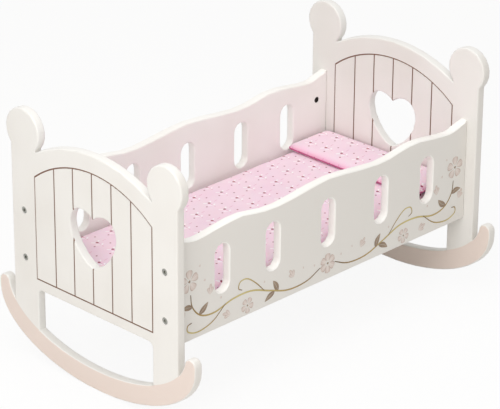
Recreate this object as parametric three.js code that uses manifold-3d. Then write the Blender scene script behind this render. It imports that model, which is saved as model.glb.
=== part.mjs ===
// A doll cradle: two shaped end boards on rockers, two slotted side panels, a loose
// floor in grooves, a mattress and a pillow. Socket-head bolts run through the posts of
// the end boards into barrel nuts in the side panels. Millimetres, +Z up. X runs from
// the foot to the head, and the origin is on the floor under the middle of the cradle.

import * as THREE from 'three';
import { mergeVertices } from 'three/addons/utils/BufferGeometryUtils.js';
import Module from 'manifold-3d';

const wasm = await Module();
wasm.setup();

// Bed space and boards
const innerLength = 520;
const innerWidth = 233;
const boardThickness = 12;
const edgeRound = 2;
const railHeight = 100;
const fitGap = 0.3;
const overrun = 1;

// End boards
const postWidth = 43;
const archSpringHeight = 281.5;
const archRise = 27.5;
const finialRadius = 29.5;
const neckRise = 2;
const openingCorner = 7;

// Rockers, one in each end board
const rockerReach = 28.5;
const rockerArm = 17;
const rockerDepth = 27;
const rockerTipDrop = 8.5;
const rockerWidestDrop = 16;
const restPadLength = 28;

// Heart cut-out
const heartWidth = 79.6;
const heartHeight = 71.6;
const heartTipHeight = 162.4;

// Engraved plank lines on both faces of an end board: five uprights in an arched border
const lineWidth = 1.8;
const lineDepth = 0.8;
const plankPitch = 33.35;
const borderFootRise = 14.7;
const borderCrownInset = 23.1;
const borderShoulderDrop = 36.1;

// Side panels
const waveMiddleHeight = 232;
const waveDepth = 4.5;
const slotWidth = 24;
const slotHeight = 63.5;
const slotFootHeight = 145.5;

// Floor board and its grooves
const floorThickness = 4;
const floorHeight = 108;
const grooveDepth = 5;

// Bolts and barrel nuts
const upperBoltHeight = 200;
const lowerBoltHeight = 137;
const shankDiameter = 5;
const headDiameter = 8.5;
const headHeight = 3.2;
const headRecess = 0.4;
const socketAcrossFlats = 4;
const socketDepth = 2;
const nutDiameter = 8;
const nutSetback = 19.5;
const nutWall = 1.6;
const nutSlotWidth = 1.2;
const nutSlotDepth = 1;
const boltOvershoot = 2;

// Bedding
const mattressThickness = 33;
const mattressSideGap = 1.5;
const mattressCrown = 3;
const mattressCorner = 9;
const mattressEdgeReach = 14;
const mattressUnderReach = 12;
const mattressDrawIn = 2;
const pillowLength = 82;
const pillowSideGap = 4;
const pillowThickness = 10;
const pillowCrown = 4;
const pillowCorner = 6;
const pillowEdgeReach = 11;
const pillowUnderReach = 5;
const pillowDrawIn = 1.5;

// Places worked out from the sizes above
const sideCentre = (innerWidth + boardThickness) / 2;
const postInner = sideCentre - postWidth / 2;
const postOuter = sideCentre + postWidth / 2;
const endCentre = (innerLength + boardThickness) / 2;
const overallHalfLength = innerLength / 2 + boardThickness;
const neckHeight = archSpringHeight + neckRise;
const finialHeight = neckHeight + Math.sqrt(finialRadius ** 2 - (postWidth / 2) ** 2);
const floorTop = floorHeight + floorThickness;
const boltHeights = { upper: upperBoltHeight, lower: lowerBoltHeight };

// Tables of shares, chosen by hand
const waveShares = [[-1, 1], [-0.93, 0], [-0.85, -0.8], [-0.6, 0.75], [-0.36, -0.9], [0, 0.95],
  [0.36, -0.9], [0.6, 0.75], [0.85, -0.8], [0.93, 0], [1, 1]];
const slotPlaceShares = [-0.705, -0.373, 0, 0.373, 0.705];
const uprightLineShares = [-2, -1, 0, 1, 2];
const heartShares = [
  [[0, 0], [0.35, 0.036], [0.98, 0.358], [1, 0.665]],
  [[1, 0.665], [1.018, 0.832], [0.829, 1], [0.528, 1]],
  [[0.528, 1], [0.302, 1], [0.101, 0.951], [0, 0.888]],
];
const topEdgeShares = [0.08, 0.24, 0.46, 0.72, 1];
const underEdgeShares = [1, 0.5, 0.16];
const crownRingShares = [0.74, 0.46, 0.2];

// Counts of steps along curves
const rockerSteps = 14;
const armSteps = 5;
const tipSteps = 8;
const finialSteps = 16;
const archSteps = 8;
const cornerSteps = 4;
const heartSteps = 5;
const borderSteps = 8;
const waveSteps = 32;
const slotEndSteps = 6;
const roundSteps = 16;
const roundingSteps = 2;
const sidePoints = 6;

const paint = new THREE.MeshStandardMaterial({ color: 0xf3efe9, roughness: 0.45, metalness: 0 });
const floorPaint = new THREE.MeshStandardMaterial({ color: 0xece6de, roughness: 0.6, metalness: 0 });
const steel = new THREE.MeshStandardMaterial({ color: 0xb9bcc0, roughness: 0.35, metalness: 0.9 });
const cotton = new THREE.MeshStandardMaterial({ color: 0xf4cfe0, roughness: 0.9, metalness: 0 });

// Solids and meshes

function solidOf(geometry) {
  const bare = geometry.clone();
  bare.deleteAttribute('normal');
  bare.deleteAttribute('uv');
  const merged = mergeVertices(bare);
  const corners = merged.index.array;
  const triangles = [];
  for (let i = 0; i < corners.length; i += 3) {
    const [a, b, c] = corners.slice(i, i + 3);
    if (a !== b && b !== c && c !== a) {
      triangles.push(a, b, c);
    }
  }
  const vertProperties = new Float32Array(merged.attributes.position.array);
  const triVerts = new Uint32Array(triangles);
  return new wasm.Manifold(new wasm.Mesh({ numProp: 3, vertProperties, triVerts }));
}

function geometryOf(solid) {
  const mesh = solid.getMesh();
  const geometry = new THREE.BufferGeometry();
  geometry.setAttribute('position', new THREE.BufferAttribute(new Float32Array(mesh.vertProperties), 3));
  geometry.setIndex(new THREE.BufferAttribute(new Uint32Array(mesh.triVerts), 1));
  geometry.computeVertexNormals();
  return geometry;
}

function cutAway(geometry, cutters) {
  let solid = solidOf(geometry);
  for (const cutter of cutters) {
    solid = solid.subtract(solidOf(cutter));
  }
  return geometryOf(solid);
}

function part(name, geometry, material, x = 0, y = 0, z = 0) {
  const mesh = new THREE.Mesh(geometry, material);
  mesh.name = name;
  mesh.position.set(x, y, z);
  return mesh;
}

function rodAlongX(diameter, fromX, toX) {
  const rod = new THREE.CylinderGeometry(diameter / 2, diameter / 2, toX - fromX, roundSteps);
  rod.rotateZ(-Math.PI / 2);
  rod.translate((fromX + toX) / 2, 0, 0);
  return rod;
}

function rodAlongY(diameter, fromY, toY) {
  const rod = new THREE.CylinderGeometry(diameter / 2, diameter / 2, toY - fromY, roundSteps);
  rod.translate(0, (fromY + toY) / 2, 0);
  return rod;
}

// Outlines

function ellipsePoints(centre, radiusX, radiusY, fromAngle, toAngle, steps) {
  const points = [];
  for (let i = 0; i <= steps; i += 1) {
    const angle = fromAngle + (toAngle - fromAngle) * i / steps;
    points.push(new THREE.Vector2(centre.x + radiusX * Math.cos(angle), centre.y + radiusY * Math.sin(angle)));
  }
  return points;
}

// Completes an outline whose right half runs upward from the bottom to the top.
function mirrored(rightHalf) {
  const leftHalf = rightHalf.map((point) => new THREE.Vector2(-point.x, point.y)).reverse();
  const onAxis = (point) => Math.abs(point.x) < fitGap;
  return [...rightHalf, ...leftHalf.filter((point) => !onAxis(point))];
}

// The rocker's upper curve is an ellipse centred at rail height, and the legs run into it.
const upperCurve = {
  centre: new THREE.Vector2(0, railHeight),
  radiusX: postOuter + rockerReach - rockerArm,
  radiusY: railHeight - rockerDepth,
};

function upperCurveAngleAt(distance) {
  return -Math.acos(distance / upperCurve.radiusX);
}

function upperCurvePoints(fromAngle, toAngle, steps) {
  return ellipsePoints(upperCurve.centre, upperCurve.radiusX, upperCurve.radiusY, fromAngle, toAngle, steps);
}

// The rocker's running edge is a wider ellipse with a short flat at its lowest point, so
// that the cradle also stands still. The flat's height is the floor's.
function runningEdgePoints() {
  const halfSpan = postOuter + rockerReach;
  const rise = railHeight - rockerWidestDrop;
  const flatAngle = -Math.acos(restPadLength / 2 / halfSpan);
  const centre = new THREE.Vector2(0, -rise * Math.sin(flatAngle));
  return ellipsePoints(centre, halfSpan, rise, flatAngle, 0, rockerSteps);
}

function rockerTipPoints() {
  const angle = -Math.asin(rockerTipDrop / upperCurve.radiusY);
  const innerEnd = upperCurvePoints(angle, angle, 1)[0];
  const radius = (postOuter + rockerReach - innerEnd.x) / 2;
  const tip = ellipsePoints(new THREE.Vector2(innerEnd.x + radius, innerEnd.y), radius, radius, 0, Math.PI, tipSteps);
  const arm = upperCurvePoints(angle, upperCurveAngleAt(postOuter), armSteps);
  return [...tip, ...arm.slice(1)];
}

function finialPoints() {
  const centre = new THREE.Vector2(sideCentre, finialHeight);
  const neckAngle = Math.asin((neckHeight - finialHeight) / finialRadius);
  return ellipsePoints(centre, finialRadius, finialRadius, neckAngle, Math.PI - neckAngle, finialSteps);
}

function archPoints() {
  const radius = (postInner ** 2 + archRise ** 2) / (2 * archRise);
  const centre = new THREE.Vector2(0, archSpringHeight + archRise - radius);
  const springAngle = Math.acos(postInner / radius);
  return ellipsePoints(centre, radius, radius, springAngle, Math.PI / 2, archSteps);
}

function openingPath() {
  const floorEdge = upperCurvePoints(-Math.PI / 2, upperCurveAngleAt(postInner), rockerSteps);
  const cornerCentre = new THREE.Vector2(postInner - openingCorner, railHeight - openingCorner);
  const corner = ellipsePoints(cornerCentre, openingCorner, openingCorner, 0, Math.PI / 2, cornerSteps);
  return new THREE.Path(mirrored([...floorEdge, ...corner]));
}

function heartPath() {
  const rightHalf = [];
  for (const shares of heartShares) {
    const [from, fromHandle, toHandle, to] = shares.map(([across, up]) => (
      new THREE.Vector2(across * heartWidth / 2, heartTipHeight + up * heartHeight)));
    const curve = new THREE.CubicBezierCurve(from, fromHandle, toHandle, to);
    rightHalf.push(...curve.getPoints(heartSteps).slice(rightHalf.length ? 1 : 0));
  }
  return new THREE.Path(mirrored(rightHalf));
}

function roundedBoard(shape) {
  const depth = boardThickness - 2 * edgeRound;
  const board = new THREE.ExtrudeGeometry(shape, {
    depth,
    bevelThickness: edgeRound,
    bevelSize: edgeRound,
    bevelOffset: -edgeRound,
    bevelSegments: roundingSteps,
    curveSegments: roundSteps,
  });
  board.translate(0, 0, -depth / 2);
  return board;
}

// End boards

function boltHoleCutters() {
  const face = boardThickness / 2;
  const seat = headHeight + headRecess - face;
  const cutters = [];
  for (const side of [-1, 1]) {
    for (const height of Object.values(boltHeights)) {
      const shankHole = rodAlongX(shankDiameter + 2 * fitGap, -face - overrun, face + overrun);
      const headHole = rodAlongX(headDiameter + 2 * fitGap, -face - overrun, seat);
      for (const hole of [shankHole, headHole]) {
        cutters.push(hole.translate(0, side * sideCentre, height));
      }
    }
  }
  return cutters;
}

// The border of the engraving stands beside the posts and runs under the arch. An offset
// moves its line outward, which gives the two edges of the cut.
const borderHalfWidth = postInner + lineWidth / 2;
const borderFoot = railHeight + borderFootRise;
const borderCrown = archSpringHeight + archRise - borderCrownInset;
const borderRadius = (borderHalfWidth ** 2 + borderShoulderDrop ** 2) / (2 * borderShoulderDrop);
const borderCentre = new THREE.Vector2(0, borderCrown - borderRadius);

function borderPoints(offset) {
  const radius = borderRadius + offset;
  const halfWidth = borderHalfWidth + offset;
  const shoulderAngle = Math.acos(halfWidth / radius);
  const corner = new THREE.Vector2(halfWidth, borderFoot - offset);
  return mirrored([corner, ...ellipsePoints(borderCentre, radius, radius, shoulderAngle, Math.PI / 2, borderSteps)]);
}

function borderLineShape() {
  const shape = new THREE.Shape(borderPoints(lineWidth / 2));
  shape.holes.push(new THREE.Path(borderPoints(-lineWidth / 2)));
  return shape;
}

// An upright line ends inside the border's own width at its foot and at the arch.
function uprightLineShape(centre) {
  const half = lineWidth / 2;
  const top = borderCentre.y + Math.sqrt(borderRadius ** 2 - centre ** 2);
  const corners = [[-half, borderFoot], [half, borderFoot], [half, top], [-half, top]];
  return new THREE.Shape(corners.map(([across, height]) => new THREE.Vector2(centre + across, height)));
}

function engravingCutters() {
  const shapes = [borderLineShape(), ...uprightLineShares.map((share) => uprightLineShape(share * plankPitch))];
  const face = boardThickness / 2;
  const cutters = [];
  for (const shape of shapes) {
    for (const from of [-face - overrun, face - lineDepth]) {
      cutters.push(new THREE.ExtrudeGeometry(shape, { depth: lineDepth + overrun, bevelEnabled: false }).translate(0, 0, from));
    }
  }
  return cutters;
}

// An end board stands across X with its outer face, where the bolt heads sit, toward -X.
function endBoardGeometry() {
  const rightHalf = [...runningEdgePoints(), ...rockerTipPoints(), ...finialPoints(), ...archPoints()];
  const shape = new THREE.Shape(mirrored(rightHalf));
  shape.holes.push(openingPath(), heartPath());
  const board = cutAway(roundedBoard(shape), engravingCutters());
  const upright = new THREE.Matrix4().makeBasis(
    new THREE.Vector3(0, 1, 0), new THREE.Vector3(0, 0, 1), new THREE.Vector3(1, 0, 0));
  board.applyMatrix4(upright);
  return cutAway(board, boltHoleCutters());
}

// Side panels

function slotPath(centreX) {
  const radius = slotWidth / 2;
  const top = new THREE.Vector2(centreX, slotFootHeight + slotHeight - radius);
  const foot = new THREE.Vector2(centreX, slotFootHeight + radius);
  return new THREE.Path([
    ...ellipsePoints(top, radius, radius, 0, Math.PI, slotEndSteps),
    ...ellipsePoints(foot, radius, radius, Math.PI, 2 * Math.PI, slotEndSteps),
  ]);
}

function sidePanelShape() {
  const half = innerLength / 2;
  const crests = waveShares.map(([along, up]) => (
    new THREE.Vector2(along * half, waveMiddleHeight + up * waveDepth)));
  const wave = new THREE.SplineCurve(crests).getPoints(waveSteps).reverse();
  const foot = [new THREE.Vector2(-half, railHeight), new THREE.Vector2(half, railHeight)];
  const shape = new THREE.Shape([...foot, ...wave]);
  for (const share of slotPlaceShares) {
    shape.holes.push(slotPath(share * half));
  }
  return shape;
}

function grooveCutter() {
  const height = floorThickness + 2 * fitGap;
  const groove = new THREE.BoxGeometry(innerLength + 2 * overrun, grooveDepth + overrun, height);
  return groove.translate(0, (boardThickness - grooveDepth + overrun) / 2, floorHeight + floorThickness / 2);
}

function nutAndBoltCutters() {
  const face = boardThickness / 2;
  const half = innerLength / 2;
  const holeEnd = nutSetback + nutDiameter / 2 + 2 * boltOvershoot;
  const cutters = [];
  for (const height of Object.values(boltHeights)) {
    const footHole = rodAlongX(shankDiameter + 2 * fitGap, -half - overrun, holeEnd - half);
    const headHole = rodAlongX(shankDiameter + 2 * fitGap, half - holeEnd, half + overrun);
    cutters.push(footHole.translate(0, 0, height), headHole.translate(0, 0, height));
    for (const end of [-1, 1]) {
      const nutHole = rodAlongY(nutDiameter + 2 * fitGap, nutWall - face, face + overrun);
      cutters.push(nutHole.translate(end * (half - nutSetback), 0, height));
    }
  }
  return cutters;
}

// A side panel stands along X with its inner face, where the groove is, toward +Y.
function sidePanelGeometry() {
  const panel = roundedBoard(sidePanelShape());
  const upright = new THREE.Matrix4().makeBasis(
    new THREE.Vector3(1, 0, 0), new THREE.Vector3(0, 0, 1), new THREE.Vector3(0, -1, 0));
  panel.applyMatrix4(upright);
  return cutAway(panel, [grooveCutter(), ...nutAndBoltCutters()]);
}

function floorBoard() {
  const length = innerLength - 2 * fitGap;
  const width = innerWidth + 2 * (grooveDepth - fitGap);
  const board = new THREE.BoxGeometry(length, width, floorThickness);
  return part('floor_board', board, floorPaint, 0, 0, floorHeight + floorThickness / 2);
}

// Bolts and nuts

// A bolt lies along X with its head's underside at 0 and its shank toward +X.
function boltGeometry() {
  const boardGrip = boardThickness - headHeight - headRecess;
  const length = boardGrip + nutSetback + nutDiameter / 2 + boltOvershoot;
  const tip = shankDiameter / 2;
  const profile = [
    [0, -headHeight], [headDiameter / 2 - fitGap, -headHeight], [headDiameter / 2, fitGap - headHeight],
    [headDiameter / 2, 0], [tip, 0], [tip, length - fitGap], [tip - fitGap, length], [0, length],
  ].map(([radius, along]) => new THREE.Vector2(radius, along));
  const turned = new THREE.LatheGeometry(profile, roundSteps).rotateZ(-Math.PI / 2);
  const socketRadius = socketAcrossFlats / Math.sqrt(3);
  const socketLength = socketDepth + overrun;
  const socket = new THREE.CylinderGeometry(socketRadius, socketRadius, socketLength, 6);
  socket.rotateZ(-Math.PI / 2).translate(socketDepth - headHeight - socketLength / 2, 0, 0);
  return cutAway(turned, [socket]);
}

// A barrel nut lies along Y with its cross hole at 0 and its slotted end toward +Y.
function nutGeometry() {
  const openEnd = boardThickness / 2 - fitGap;
  const barrel = rodAlongY(nutDiameter, nutWall + fitGap - boardThickness / 2, openEnd);
  const reach = nutDiameter / 2 + overrun;
  const crossHole = rodAlongX(shankDiameter + 2 * fitGap, -reach, reach);
  const slot = new THREE.BoxGeometry(2 * reach, nutSlotDepth + overrun, nutSlotWidth);
  slot.translate(0, openEnd + (overrun - nutSlotDepth) / 2, 0);
  return cutAway(barrel, [crossHole, slot]);
}

function fastenings() {
  const group = new THREE.Group();
  const bolt = boltGeometry();
  const nut = nutGeometry();
  const ends = { foot: -1, head: 1 };
  const sides = { near: -1, far: 1 };
  for (const [endName, end] of Object.entries(ends)) {
    for (const [sideName, side] of Object.entries(sides)) {
      for (const [level, height] of Object.entries(boltHeights)) {
        const seat = end * (overallHalfLength - headHeight - headRecess);
        const place = `${endName}_${sideName}_${level}`;
        const boltMesh = part(`bolt_${place}`, bolt, steel, seat, side * sideCentre, height);
        boltMesh.rotation.z = end > 0 ? Math.PI : 0;
        const nutX = end * (innerLength / 2 - nutSetback);
        const nutMesh = part(`barrel_nut_${place}`, nut, steel, nutX, side * sideCentre, height);
        nutMesh.rotation.z = side > 0 ? Math.PI : 0;
        group.add(boltMesh, nutMesh);
      }
    }
  }
  return group;
}

// Bedding. A cushion is two panels joined by a seam at half its thickness. Its faces
// round over from the seam, its middle is crowned, and its sides are drawn in a little.

function cushionRing(cushion, inset) {
  const halfX = cushion.length / 2 - inset;
  const halfY = cushion.width / 2 - inset;
  const corner = Math.min(cushion.corner + inset / 2, halfX, halfY);
  const ring = [];
  for (let quarter = 0; quarter < 4; quarter += 1) {
    const signX = quarter === 0 || quarter === 3 ? 1 : -1;
    const signY = quarter < 2 ? 1 : -1;
    const centre = new THREE.Vector2(signX * (halfX - corner), signY * (halfY - corner));
    const from = quarter * Math.PI / 2;
    const arc = ellipsePoints(centre, corner, corner, from, from + Math.PI / 2, cornerSteps);
    const alongX = quarter % 2 === 0;
    const span = 2 * ((alongX ? halfX : halfY) - corner);
    const step = new THREE.Vector2(alongX ? -signX : 0, alongX ? 0 : -signY);
    const last = arc[arc.length - 1];
    ring.push(...arc);
    for (let i = 1; i <= sidePoints; i += 1) {
      ring.push(last.clone().addScaledVector(step, span * i / (sidePoints + 1)));
    }
  }
  return ring;
}

function drawnIn(cushion, point) {
  const alongX = point.x / (cushion.length / 2);
  const alongY = point.y / (cushion.width / 2);
  return new THREE.Vector2(
    point.x - cushion.drawIn * alongX ** 3 * (1 - alongY ** 2),
    point.y - cushion.drawIn * alongY ** 3 * (1 - alongX ** 2));
}

function crownAt(cushion, point) {
  const alongX = point.x / (cushion.length / 2);
  const alongY = point.y / (cushion.width / 2);
  return cushion.crown * (1 - alongX ** 2) * (1 - alongY ** 2);
}

function roundOver(share) {
  return Math.sqrt(1 - (1 - share) ** 2);
}

function cushionLevels(cushion) {
  const half = cushion.thickness / 2;
  const under = underEdgeShares.map((share) => ({
    ring: cushionRing(cushion, share * cushion.underReach), height: -half * roundOver(share), crowned: 0 }));
  const seam = { ring: cushionRing(cushion, 0), height: 0, crowned: 0 };
  const over = topEdgeShares.map((share) => ({
    ring: cushionRing(cushion, share * cushion.edgeReach), height: half * roundOver(share), crowned: share }));
  const rim = over[over.length - 1].ring;
  const middle = crownRingShares.map((share) => ({
    ring: rim.map((point) => point.clone().multiplyScalar(share)), height: half, crowned: 1 }));
  return [...under, seam, ...over, ...middle];
}

function cushionGeometry(cushion) {
  const half = cushion.thickness / 2;
  const levels = cushionLevels(cushion);
  const count = levels[0].ring.length;
  const positions = [0, 0, -half];
  for (const level of levels) {
    for (const point of level.ring) {
      const place = drawnIn(cushion, point);
      positions.push(place.x, place.y, level.height + level.crowned * crownAt(cushion, point));
    }
  }
  positions.push(0, 0, half + cushion.crown);
  const top = positions.length / 3 - 1;
  const lastRing = 1 + count * (levels.length - 1);
  const triangles = [];
  for (let i = 0; i < count; i += 1) {
    const next = (i + 1) % count;
    triangles.push(0, 1 + next, 1 + i);
    for (let level = 0; level < levels.length - 1; level += 1) {
      const lower = 1 + level * count;
      const upper = lower + count;
      triangles.push(lower + i, lower + next, upper + next, lower + i, upper + next, upper + i);
    }
    triangles.push(top, lastRing + i, lastRing + next);
  }
  const geometry = new THREE.BufferGeometry();
  geometry.setAttribute('position', new THREE.Float32BufferAttribute(positions, 3));
  geometry.setIndex(triangles);
  geometry.computeVertexNormals();
  return geometry;
}

const mattressForm = {
  length: innerLength - 2 * mattressSideGap,
  width: innerWidth - 2 * mattressSideGap,
  thickness: mattressThickness,
  crown: mattressCrown,
  corner: mattressCorner,
  edgeReach: mattressEdgeReach,
  underReach: mattressUnderReach,
  drawIn: mattressDrawIn,
};

const pillowForm = {
  length: pillowLength,
  width: innerWidth - 2 * pillowSideGap,
  thickness: pillowThickness,
  crown: pillowCrown,
  corner: pillowCorner,
  edgeReach: pillowEdgeReach,
  underReach: pillowUnderReach,
  drawIn: pillowDrawIn,
};

function mattress() {
  const seamHeight = floorTop + fitGap + mattressThickness / 2;
  return part('mattress', cushionGeometry(mattressForm), cotton, 0, 0, seamHeight);
}

// The pillow lies on the highest part of the mattress under it, at its own front edge.
function pillow() {
  const frontX = innerLength / 2 - mattressSideGap - pillowLength;
  const crownUnder = crownAt(mattressForm, new THREE.Vector2(frontX, 0));
  const restHeight = floorTop + mattressThickness + crownUnder + 2 * fitGap;
  const seamHeight = restHeight + pillowThickness / 2;
  return part('pillow', cushionGeometry(pillowForm), cotton, frontX + pillowLength / 2, 0, seamHeight);
}

// Assembly

function boards() {
  const group = new THREE.Group();
  const endBoard = endBoardGeometry();
  const sidePanel = sidePanelGeometry();
  const headboard = part('headboard', endBoard, paint, endCentre);
  headboard.rotation.z = Math.PI;
  const farPanel = part('far_side_panel', sidePanel, paint, 0, sideCentre);
  farPanel.rotation.z = Math.PI;
  group.add(part('footboard', endBoard, paint, -endCentre), headboard);
  group.add(part('near_side_panel', sidePanel, paint, 0, -sideCentre), farPanel, floorBoard());
  return group;
}

const cradle = new THREE.Group();
cradle.add(boards(), fastenings(), mattress(), pillow());

export default cradle;
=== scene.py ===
# %% [markdown]
# A painted doll cradle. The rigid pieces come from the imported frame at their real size,
# so this lesson dresses them: paint, engraving and print, then the bedding as sewn and
# filled cloth, and last the studio. Everything is in metres, with +X from the foot to
# the head, +Y from the near side to the far one, and +Z up.

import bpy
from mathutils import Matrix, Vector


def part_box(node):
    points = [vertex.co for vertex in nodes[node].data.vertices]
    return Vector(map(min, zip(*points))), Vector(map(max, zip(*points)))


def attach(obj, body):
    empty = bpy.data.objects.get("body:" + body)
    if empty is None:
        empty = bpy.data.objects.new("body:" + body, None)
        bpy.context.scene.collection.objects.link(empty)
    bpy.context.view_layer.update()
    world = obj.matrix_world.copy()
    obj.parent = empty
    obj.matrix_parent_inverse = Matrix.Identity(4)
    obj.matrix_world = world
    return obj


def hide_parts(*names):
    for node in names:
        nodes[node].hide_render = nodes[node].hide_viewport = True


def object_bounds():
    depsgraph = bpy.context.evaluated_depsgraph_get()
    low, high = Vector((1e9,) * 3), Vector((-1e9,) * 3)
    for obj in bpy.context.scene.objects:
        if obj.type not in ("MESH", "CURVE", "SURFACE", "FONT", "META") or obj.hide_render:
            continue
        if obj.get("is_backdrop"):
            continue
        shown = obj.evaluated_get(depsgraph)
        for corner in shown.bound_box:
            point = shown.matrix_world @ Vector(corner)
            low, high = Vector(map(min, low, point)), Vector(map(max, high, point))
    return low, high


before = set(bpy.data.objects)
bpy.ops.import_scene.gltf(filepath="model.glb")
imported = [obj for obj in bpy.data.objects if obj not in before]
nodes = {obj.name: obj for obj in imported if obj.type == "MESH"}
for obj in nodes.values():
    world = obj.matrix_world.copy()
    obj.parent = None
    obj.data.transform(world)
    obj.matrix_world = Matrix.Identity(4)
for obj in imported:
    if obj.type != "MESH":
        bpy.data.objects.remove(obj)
frame_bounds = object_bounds()
print("nodes in the frame:", len(nodes))

# %% Other modules and the unit
import math

import bmesh
import bpy
from mathutils import Matrix, Vector, noise
from mathutils.bvhtree import BVHTree

mm = 0.001

# %% [markdown]
# The camera comes first, because every comparison with the photograph depends on it.
# A product picture like this one is taken with a long lens from a few metres away, so
# its lines hardly converge. The heading is measured from +X towards +Y, downward is how
# far the lens looks below the horizon, and a slight roll levels the picture.

# %% Camera
camera_place = Vector((-2.182, -2.118, 1.530))
heading = math.radians(44.22)
downward = math.radians(24.25)
roll = math.radians(0.41)
image_width = 500
focal_in_pixels = 2656
sensor_width = 36

look = Vector((math.cos(downward)*math.cos(heading), math.cos(downward)*math.sin(heading),
               -math.sin(downward)))
level_right = look.cross(Vector((0, 0, 1))).normalized()
level_up = level_right.cross(look)
right = math.cos(roll)*level_right + math.sin(roll)*level_up
up = math.cos(roll)*level_up - math.sin(roll)*level_right

camera_data = bpy.data.cameras.new("camera")
camera_data.sensor_width = sensor_width
camera_data.lens = focal_in_pixels/image_width*sensor_width
camera_data.clip_end = 50  # past the studio floor's edge
camera = bpy.data.objects.new("camera", camera_data)
camera.matrix_world = Matrix.Translation(camera_place) @ Matrix((right, up, -look)).transposed().to_4x4()
bpy.context.scene.collection.objects.link(camera)
bpy.context.scene.camera = camera
print("lens:", round(camera_data.lens, 1), "mm")

# %% [markdown]
# Materials here are written as sums. A Wire is one number that runs through a
# material's nodes, and adding or comparing two Wires adds the Math node that does it.
# A Finish is one material, with a single method for every other kind of node.

# %% Wires for shader maths
class Wire:
    """One varying number in a finish."""

    def __init__(self, finish, socket):
        self.finish = finish
        self.socket = socket

    def __add__(self, other):
        return self.finish.maths("ADD", self, other)

    def __radd__(self, other):
        return self.finish.maths("ADD", other, self)

    def __sub__(self, other):
        return self.finish.maths("SUBTRACT", self, other)

    def __rsub__(self, other):
        return self.finish.maths("SUBTRACT", other, self)

    def __mul__(self, other):
        return self.finish.maths("MULTIPLY", self, other)

    def __rmul__(self, other):
        return self.finish.maths("MULTIPLY", other, self)

    def __truediv__(self, other):
        return self.finish.maths("DIVIDE", self, other)

    def __pow__(self, other):
        return self.finish.maths("POWER", self, other)

    def __lt__(self, other):
        return self.finish.maths("LESS_THAN", self, other)

    def __gt__(self, other):
        return self.finish.maths("GREATER_THAN", self, other)

    def __abs__(self):
        return self.finish.maths("ABSOLUTE", self)


# %% One class for every finish
def colour(text):
    """A colour written as six hex digits, as the renderer's linear values."""
    parts = [int(text[i:i + 2], 16)/255 for i in (0, 2, 4)]
    return tuple(p/12.92 if p <= 0.04045 else ((p + 0.055)/1.055)**2.4 for p in parts) + (1.0,)


def set_stops(ramp, stops):
    while len(ramp.elements) < len(stops):
        ramp.elements.new(1.0)
    for element, (place, shade) in zip(ramp.elements, stops):
        element.position = place
        element.color = shade


class Finish:
    """A material whose nodes are made by one method."""

    def __init__(self, name, owner=None):
        self.material = owner or bpy.data.materials.new(name)
        self.material.use_nodes = True
        self.tree = self.material.node_tree
        self.tree.nodes.clear()

    def node(self, kind, settings=None, sockets=None):
        made = self.tree.nodes.new(kind)
        for key, value in (settings or {}).items():
            if key == "stops":
                set_stops(made.color_ramp, value)
            else:
                setattr(made, key, value)
        for key, value in (sockets or {}).items():
            self.feed(made.inputs[key], value)
        return made

    def feed(self, socket, value):
        if isinstance(value, Wire):
            self.tree.links.new(value.socket, socket)
        elif isinstance(value, bpy.types.NodeSocket):
            self.tree.links.new(value, socket)
        else:
            socket.default_value = value

    def maths(self, operation, *values):
        made = self.node("ShaderNodeMath", {"operation": operation}, dict(enumerate(values)))
        return Wire(self, made.outputs[0])

    def smooth_step(self, value, low, high):
        made = self.node("ShaderNodeMapRange", {"interpolation_type": "SMOOTHSTEP"},
                         {"Value": value, "From Min": low, "From Max": high})
        return Wire(self, made.outputs["Result"])

    def mix(self, factor, first, second):
        made = self.node("ShaderNodeMix", {"data_type": "RGBA"}, {0: factor, 6: first, 7: second})
        return made.outputs[2]

    def split(self, vector):
        made = self.node("ShaderNodeSeparateXYZ", None, {"Vector": vector})
        return [Wire(self, socket) for socket in made.outputs]

    def place(self):
        return self.node("ShaderNodeTexCoord").outputs["Object"]

    def normal(self):
        return self.split(self.node("ShaderNodeTexCoord").outputs["Normal"])

    def noise(self, vector, scale, detail=2.0):
        made = self.node("ShaderNodeTexNoise", None, {"Vector": vector, "Scale": scale, "Detail": detail})
        return Wire(self, made.outputs["Fac"])

    def finish(self, base, roughness, height, strength, depth, **fixed):
        """Ends the material: colour, gloss, a bump of some depth, and constants by name."""
        bump = self.node("ShaderNodeBump", None, {"Height": height, "Strength": strength, "Distance": depth})
        shader = self.node("ShaderNodeBsdfPrincipled", None,
                           {"Base Color": base, "Roughness": roughness, "Normal": bump.outputs["Normal"]})
        for key, value in fixed.items():
            shader.inputs[key.replace("_", " ").title()].default_value = value
        self.node("ShaderNodeOutputMaterial", None, {"Surface": shader.outputs["BSDF"]})
        print("finish:", self.material.name, "with", len(self.tree.nodes), "nodes")
        return self.material


# %% [markdown]
# Sprayed paint on fibreboard is never quite one colour or one gloss. It has a very fine
# orange-peel texture, and a slow drift in tone where the coat is thicker. Both are made
# from noise in the object's own coordinates, at the real scale of a sprayed coat. The
# parts are white, and the long outer sides of the cradle are a shade greyer. That greyer
# tone is painted shade on the outward sides, and on the side panels it is also the ground
# of the print. A point is on an outer side where its normal points away from the middle,
# so where y times the normal's own y is large.

# %% Sprayed paint
paint_white = colour("EDEAE5")
paint_shade = colour("E8E4DE")
board_edge = colour("EBE9E5")
# painted light: the side panels' brighter white inside and on their edges
panel_painted_light = colour("F9F7F3")
panel_painted_light_drift = colour("F5F2ED")
# painted shade on the outward sides, and on the side panels also the print's ground
print_ground_and_shade = colour("E5E1DB")
drift_scale, peel_scale = 9.0, 700.0
tone_low, tone_high = 0.35, 0.7
satin, satin_drift = 0.36, 0.1
peel_bump = {"strength": 0.04, "depth": 0.3*mm}


def sprayed(finish, light=paint_white, dark=paint_shade):
    place = finish.place()
    drift = finish.noise(place, drift_scale)
    peel = finish.noise(place, peel_scale, 3.0)
    base = finish.mix(finish.smooth_step(drift, tone_low, tone_high), light, dark)
    roughness = satin + satin_drift*drift
    return place, base, roughness, peel


# how much a point is on an outward side, where the greyer painted shade goes
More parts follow.
